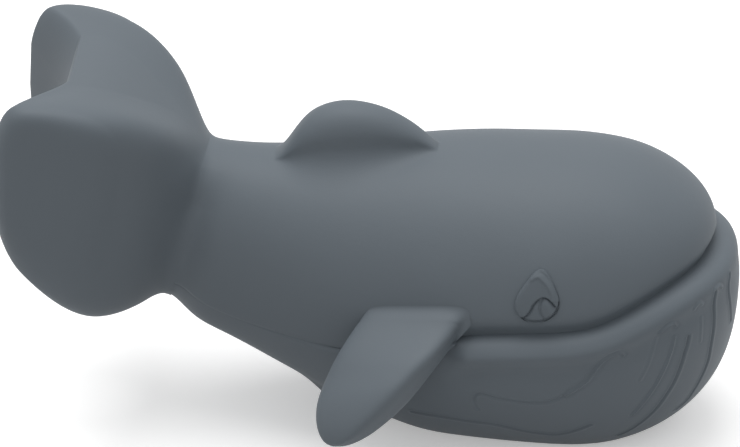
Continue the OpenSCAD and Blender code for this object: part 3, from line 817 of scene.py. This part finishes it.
def paddlePoint(t, angle, k=1):
    # a place on the paddle, which droops, sweeps back, twists and blends into the flank; k below
    # one closes its root
    f = flipper
    droop, sweep = math.radians(f["droop"]), math.radians(f["sweep"])
    twist = smoothStep(t / f["twistEnd"])
    pitch = np.radians(f["rootPitch"] + (f["pitch"] - f["rootPitch"]) * twist)
    chord = f["chord"] * np.interp(t, *flipperCurves[1]) * eased(t, f["chordRound"]) * k
    thick = f["thick"] * np.interp(t, *flipperCurves[2]) * k * np.where(
        np.sin(angle) > 0, eased(t, f["topRound"]), eased(t, f["lowRound"]))
    n = thick * signedPow(np.sin(angle), 2 / f["power"])
    h = f["slant"] * n - chord * signedPow(np.cos(angle), 2 / f["power"])
    x = f["x"] - f["length"] * t * math.sin(sweep) + h * np.cos(pitch) - n * np.sin(pitch)
    drop = f["rootDrop"] * (1 - smoothStep((t - f["rootFrom"]) / (f["dropEnd"] - f["rootFrom"])))
    n = n * np.cos(pitch) + h * np.sin(pitch) - drop
    reach = f["length"] * t * math.cos(sweep)
    z = f["z"] - reach * math.sin(droop) + n * math.cos(droop)
    y = float(skinY(f["x"], f["z"])) + f["gap"] + reach * math.cos(droop) + n * math.sin(droop)
    seated = skinY(x, z) + f["gap"]
    off = (y - seated + np.sqrt((y - seated) ** 2 + f["meet"] ** 2)) / 2
    return np.stack([x, seated + off * smoothStep((t - f["rootFrom"]) / f["rootBlend"]), z], axis=-1)


def makeFlipper(name, side):
    f = flipper
    k, s = rowsBySamples(np.arange(f["rootRows"]) / f["rootRows"], f["samples"])
    root = paddlePoint(f["rootFrom"] + 0 * k, 2 * np.pi * s, k)
    t, s = rowsBySamples(f["rootFrom"] + (1 - f["rootFrom"]) * closingRows(f["rows"]), f["samples"])
    paddle = paddlePoint(t, 2 * np.pi * s)
    table = evenly(np.concatenate([root, paddle]), f["columns"]) * np.array([1, side, 1])
    piece = loftPiece(name, table)
    addStem(piece, *seat(f["x"], f["z"], side), f["stemRadius"])
    return piece


# the eyes: a rounded teardrop with a carved lid and pupil. The lid's edge is a line of places
# along and up, and each of the lines is a depth, a width and such places
eye = {
    "along": 0.68, "up": 0.70, "height": 10.5, "length": 9.6, "proud": 0.8, "gap": 0.1,
    "taper": 0.44, "low": 0.62, "slant": 0.09, "pegRadius": 1.5, "pegFrom": 0.12, "deepest": 0.62,
    "columns": 200, "frontRows": 80, "edgeRows": 8, "backRows": 4,
    "dome": [(0, 1.0), (0.6, 1.0), (0.84, 0.96), (0.94, 0.84), (1.0, 0.55)],
    "lidDepth": 0.4, "lidEdge": 0.15, "lidFade": 0.8, "lidWithin": 0.97, "ball": 0.12,
    "lidLine": (0.3, 0.2),
    "lid": [
        (28.4, 37.5), (29.6, 37.5), (30.7, 37.5), (31.7, 38), (32.4, 38.7), (32.9, 39.6),
        (33.3, 40.5), (33.9, 41.3), (34.7, 41.9), (35.4, 42.1), (36.2, 41.8), (36.9, 41.2),
        (37.6, 40.4)],
    "lines": [
        (0.32, 0.32, [(34.9, 41.6), (34.6, 40.4), (34.7, 39.2), (35.1, 38.2), (35.8, 37.5)]),
        (-0.22, 0.8, [(36.2, 41), (36.4, 39.8), (36.6, 38.9)]),
        (-0.22, 0.4, [(32.8, 45.6), (33.4, 46), (34.2, 46.1), (35.1, 45.5), (36, 44.6),
                      (36.8, 43.3), (37.3, 41.8)]),
        (0.16, 0.32, [(34.4, 46.9), (35.1, 46.6), (36, 45.8), (37.1, 44.3), (37.9, 42.7),
                      (38.4, 41)]),
        (0.5, 0.26, [(28.8, 37.9), (29.9, 37.6), (31, 37.4), (32.8, 37.2), (34.4, 37.2),
                     (35.8, 37.5), (36.9, 38.2), (37.8, 39.2), (38.3, 40.2), (38.45, 41)]),
    ],
}
putOnFlank(eye)


def eyePoint(angle, k, lift):
    narrow = 1 - eye["taper"] * smoothStep((np.sin(angle) + eye["low"]) / (1 + eye["low"]))
    z = eye["z"] + eye["height"] / 2 * k * np.sin(angle)
    lean = eye["slant"] * (z - eye["z"] - eye["height"] / 2) * k
    x = eye["x"] - eye["length"] / 2 * k * np.cos(angle) * narrow + lean
    return x, skinY(x, z) + lift, z


def flatLine(points):
    return roundedLine([(x, 0, z) for x, z in points])


def eyeCarving(x, z, k):
    # under the lid the ball lies deeper, and rises again to its middle
    e = eye
    flat = np.stack([x, 0 * x, z], axis=-1)
    lid = flatLine(e["lid"])
    under = (z < np.interp(x, lid[:, 0], lid[:, 2])) & (k < e["lidWithin"])
    step = np.exp(-(distanceTo(flat, lid) / np.where(under, e["lidFade"], e["lidEdge"])) ** 2)
    cut = e["ball"] * under + (e["lidDepth"] - e["ball"] * under) * step
    for depth, width, points in e["lines"] + [(*e["lidLine"], e["lid"])]:
        cut += depth * np.exp(-(distanceTo(flat, flatLine(points)) / width) ** 2)
    return np.minimum(cut, e["deepest"])


def makeEye(name, side):
    # rows of rings: the carved front from its middle outwards, the rim, and the back inwards
    e = eye
    angle = (2 * np.pi * np.arange(e["columns"] + 1) / e["columns"])[None, :]
    k = np.linspace(0, 1, e["frontRows"] + 1)[:, None]
    dome = np.array(e["dome"])
    lift = e["gap"] + (e["proud"] - e["gap"]) * np.interp(k, dome[:, 0], dome[:, 1])
    x, y, z = eyePoint(angle, k, lift)
    edge = np.linspace(0, 1, e["edgeRows"] + 1)[1:, None]
    rim = eyePoint(angle, 1 + 0 * edge, lift[-1] + (e["gap"] - lift[-1]) * edge)
    inner = np.linspace(1, 0, e["backRows"] + 1)[1:, None]
    back = eyePoint(angle, inner, e["gap"])
    parts = ((x, y - eyeCarving(x, z, k), z), rim, back)
    table = np.concatenate([np.stack(np.broadcast_arrays(*part), axis=-1) for part in parts])
    piece = loftPiece(name, table * np.array([1, side, 1]))
    base, way = seat(e["x"], e["z"], side)
    base = Vector(base) - Vector(way) * e["pegFrom"]
    useBoolean(piece, rodTool([(base, way, e["pegFrom"] + grip, e["pegRadius"])]), "UNION")
    return piece


# materials
rubber = {
    "colour": (0.127, 0.150, 0.171), "eyeColour": (0.112, 0.133, 0.152), "specular": 0.28,
    "roughness": 0.58, "roughSpread": 0.06, "mottle": 0.05, "mottleScale": 55, "mottleDetail": 4,
    "skinScale": 420, "skinDetail": 1, "skinStrength": 0.35, "skinHeight": 0.06 * mm,
    "grainScale": 3200, "grainDetail": 2, "grainStrength": 0.5, "grainHeight": 0.035 * mm,
}
plastic = {
    "white": (0.78, 0.78, 0.74), "whiteRoughness": 0.38, "amber": (0.72, 0.60, 0.36),
    "amberRoughness": 0.2, "darker": (0.95, 0.95, 0.93), "flowScale": 300, "flowDetail": 3,
    "flowStrength": 0.3, "flowHeight": 0.03 * mm,
}


def nodeTree(name):
    material = bpy.data.materials.new(name)
    material.use_nodes = True
    tree = material.node_tree
    return material, tree, tree.nodes["Principled BSDF"]


def noiseFor(tree, scale, detail):
    place = tree.nodes.new("ShaderNodeTexCoord")
    noise = tree.nodes.new("ShaderNodeTexNoise")
    noise.inputs["Scale"].default_value = scale
    noise.inputs["Detail"].default_value = detail
    tree.links.new(place.outputs["Object"], noise.inputs["Vector"])
    return noise.outputs["Fac"]


def tintFrom(tree, noise, low, high, shader):
    # the shader's colour wanders between two
    tint = tree.nodes.new("ShaderNodeMix")
    tint.data_type = "RGBA"
    tint.inputs["A"].default_value = (*low, 1)
    tint.inputs["B"].default_value = (*high, 1)
    tree.links.new(noise, tint.inputs["Factor"])
    tree.links.new(tint.outputs["Result"], shader.inputs["Base Color"])


def bumpFrom(tree, noise, strength, height):
    bump = tree.nodes.new("ShaderNodeBump")
    bump.inputs["Strength"].default_value = strength
    bump.inputs["Distance"].default_value = height
    tree.links.new(noise, bump.inputs["Height"])
    return bump


def rubberMaterial(name, colour):
    # matt moulded rubber: a faint cloudiness, a fine grain and a soft unevenness of the mould
    r = rubber
    material, tree, shader = nodeTree(name)
    cloud = noiseFor(tree, r["mottleScale"], r["mottleDetail"])
    low, high = 1 - r["mottle"], 1 + r["mottle"]
    tintFrom(tree, cloud, [c * low for c in colour], [c * high for c in colour], shader)
    rough = tree.nodes.new("ShaderNodeMapRange")
    rough.inputs["To Min"].default_value = r["roughness"] - r["roughSpread"]
    rough.inputs["To Max"].default_value = r["roughness"] + r["roughSpread"]
    tree.links.new(cloud, rough.inputs["Value"])
    tree.links.new(rough.outputs["Result"], shader.inputs["Roughness"])
    grain = noiseFor(tree, r["grainScale"], r["grainDetail"])
    uneven = noiseFor(tree, r["skinScale"], r["skinDetail"])
    first = bumpFrom(tree, uneven, r["skinStrength"], r["skinHeight"])
    second = bumpFrom(tree, grain, r["grainStrength"], r["grainHeight"])
    tree.links.new(first.outputs["Normal"], second.inputs["Normal"])
    tree.links.new(second.outputs["Normal"], shader.inputs["Normal"])
    shader.inputs["Specular IOR Level"].default_value = r["specular"]
    return material


def plasticMaterial(name, colour, roughness):
    # moulded plastic with a faint flow pattern
    material, tree, shader = nodeTree(name)
    flow = noiseFor(tree, plastic["flowScale"], plastic["flowDetail"])
    tintFrom(tree, flow, [c * d for c, d in zip(colour, plastic["darker"])], colour, shader)
    bump = bumpFrom(tree, flow, plastic["flowStrength"], plastic["flowHeight"])
    tree.links.new(bump.outputs["Normal"], shader.inputs["Normal"])
    shader.inputs["Roughness"].default_value = roughness
    return material


def dress(piece, material):
    piece.data.materials.clear()
    piece.data.materials.append(material)


skinRubber = rubberMaterial("skinRubber", rubber["colour"])
eyeRubber = rubberMaterial("eyeRubber", rubber["eyeColour"])
whitePlastic = plasticMaterial("whitePlastic", plastic["white"], plastic["whiteRoughness"])
amberFilm = plasticMaterial("amberFilm", plastic["amber"], plastic["amberRoughness"])
print("materials made")

pieces = [
    (makeUpperSkin(), "back_moulding", "skin_rubber", skinRubber),
    (makeLowerSkin(), "belly_moulding", "skin_rubber", skinRubber),
    (makeFlukes(), "tail_flukes", "skin_rubber", skinRubber),
    (makeFlipper("flipperRight", -1), "flipper_right", "skin_rubber", skinRubber),
    (makeFlipper("flipperLeft", 1), "flipper_left", "skin_rubber", skinRubber),
    (makeEye("eyeRight", -1), "eye_right", "eye_rubber", eyeRubber),
    (makeEye("eyeLeft", 1), "eye_left", "eye_rubber", eyeRubber),
]
for piece, nodeName, slotName, material in pieces:
    dress(piece, material)
    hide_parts(nodeName)
    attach(piece, "skin")
    print(piece.name, len(piece.data.polygons), "faces")
for nodeName in ("squeaker_barrel", "reed_block", "reed_wedge"):
    dress(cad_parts[nodeName], whitePlastic)
dress(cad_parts["reed"], amberFilm)
print("pieces dressed")


# a pale floor, a surround that is brighter above, and one large soft lamp
studio = {
    "floorLight": 0.5, "floorSeen": 0.9, "floorGlow": 0.35, "floorSize": 6, "floorBelow": 0.05 * mm,
    "floorRoughness": 0.9, "floorSpecular": 0.1, "horizon": 0.115, "zenith": 1.03,
    "lampSize": 1.1, "lampPower": 11.5, "lampPlace": (-0.15, 0.15, 1.5), "lampAim": (0, 0, 0.04),
    "white": (1, 1, 1, 1),
}


def whereSeen(tree, seen):
    # a value that changes where the camera, a gloss or glass shows the thing
    path = tree.nodes.new("ShaderNodeLightPath")
    either = path.outputs["Is Camera Ray"]
    for ray in ("Is Glossy Ray", "Is Transmission Ray"):
        most = tree.nodes.new("ShaderNodeMath")
        most.operation = "MAXIMUM"
        tree.links.new(either, most.inputs[0])
        tree.links.new(path.outputs[ray], most.inputs[1])
        either = most.outputs["Value"]
    choice = tree.nodes.new("ShaderNodeMapRange")
    choice.inputs["To Max"].default_value = seen
    tree.links.new(either, choice.inputs["Value"])
    return choice


def makeFloor():
    form = bmesh.new()
    bmesh.ops.create_grid(form, x_segments=1, y_segments=1, size=studio["floorSize"])
    for v in form.verts:
        v.co.z = -studio["floorBelow"]
    floor = finishPiece(form, "floor")
    material, tree, shader = nodeTree("paleFloor")
    pale = whereSeen(tree, studio["floorSeen"])
    pale.inputs["To Min"].default_value = studio["floorLight"]
    tree.links.new(pale.outputs["Result"], shader.inputs["Base Color"])
    glow = whereSeen(tree, studio["floorGlow"])
    tree.links.new(glow.outputs["Result"], shader.inputs["Emission Strength"])
    shader.inputs["Emission Color"].default_value = studio["white"]
    shader.inputs["Roughness"].default_value = studio["floorRoughness"]
    shader.inputs["Specular IOR Level"].default_value = studio["floorSpecular"]
    dress(floor, material)


def makeSurround():
    world = bpy.data.worlds.new("surround")
    bpy.context.scene.world = world
    world.use_nodes = True
    tree = world.node_tree
    place = tree.nodes.new("ShaderNodeTexCoord")
    split = tree.nodes.new("ShaderNodeSeparateXYZ")
    sky = tree.nodes.new("ShaderNodeMapRange")
    sky.inputs["To Min"].default_value = studio["horizon"]
    sky.inputs["To Max"].default_value = studio["zenith"]
    tree.links.new(place.outputs["Generated"], split.inputs["Vector"])
    tree.links.new(split.outputs["Z"], sky.inputs["Value"])
    strength = whereSeen(tree, 1)
    tree.links.new(sky.outputs["Result"], strength.inputs["To Min"])
    ground = tree.nodes["Background"]
    ground.inputs["Color"].default_value = studio["white"]
    tree.links.new(strength.outputs["Result"], ground.inputs["Strength"])


def makeLamp():
    lamp = bpy.data.lights.new("softLamp", "AREA")
    lamp.shape = "DISK"
    lamp.size = studio["lampSize"]
    lamp.energy = studio["lampPower"]
    holder = bpy.data.objects.new("softLamp", lamp)
    bpy.context.scene.collection.objects.link(holder)
    holder.location = studio["lampPlace"]
    away = Vector(studio["lampPlace"]) - Vector(studio["lampAim"])
    holder.rotation_euler = away.to_track_quat("Z", "Y").to_euler()


makeFloor()
makeSurround()
makeLamp()
bpy.context.scene.view_settings.view_transform = "Standard"
print("studio lit")
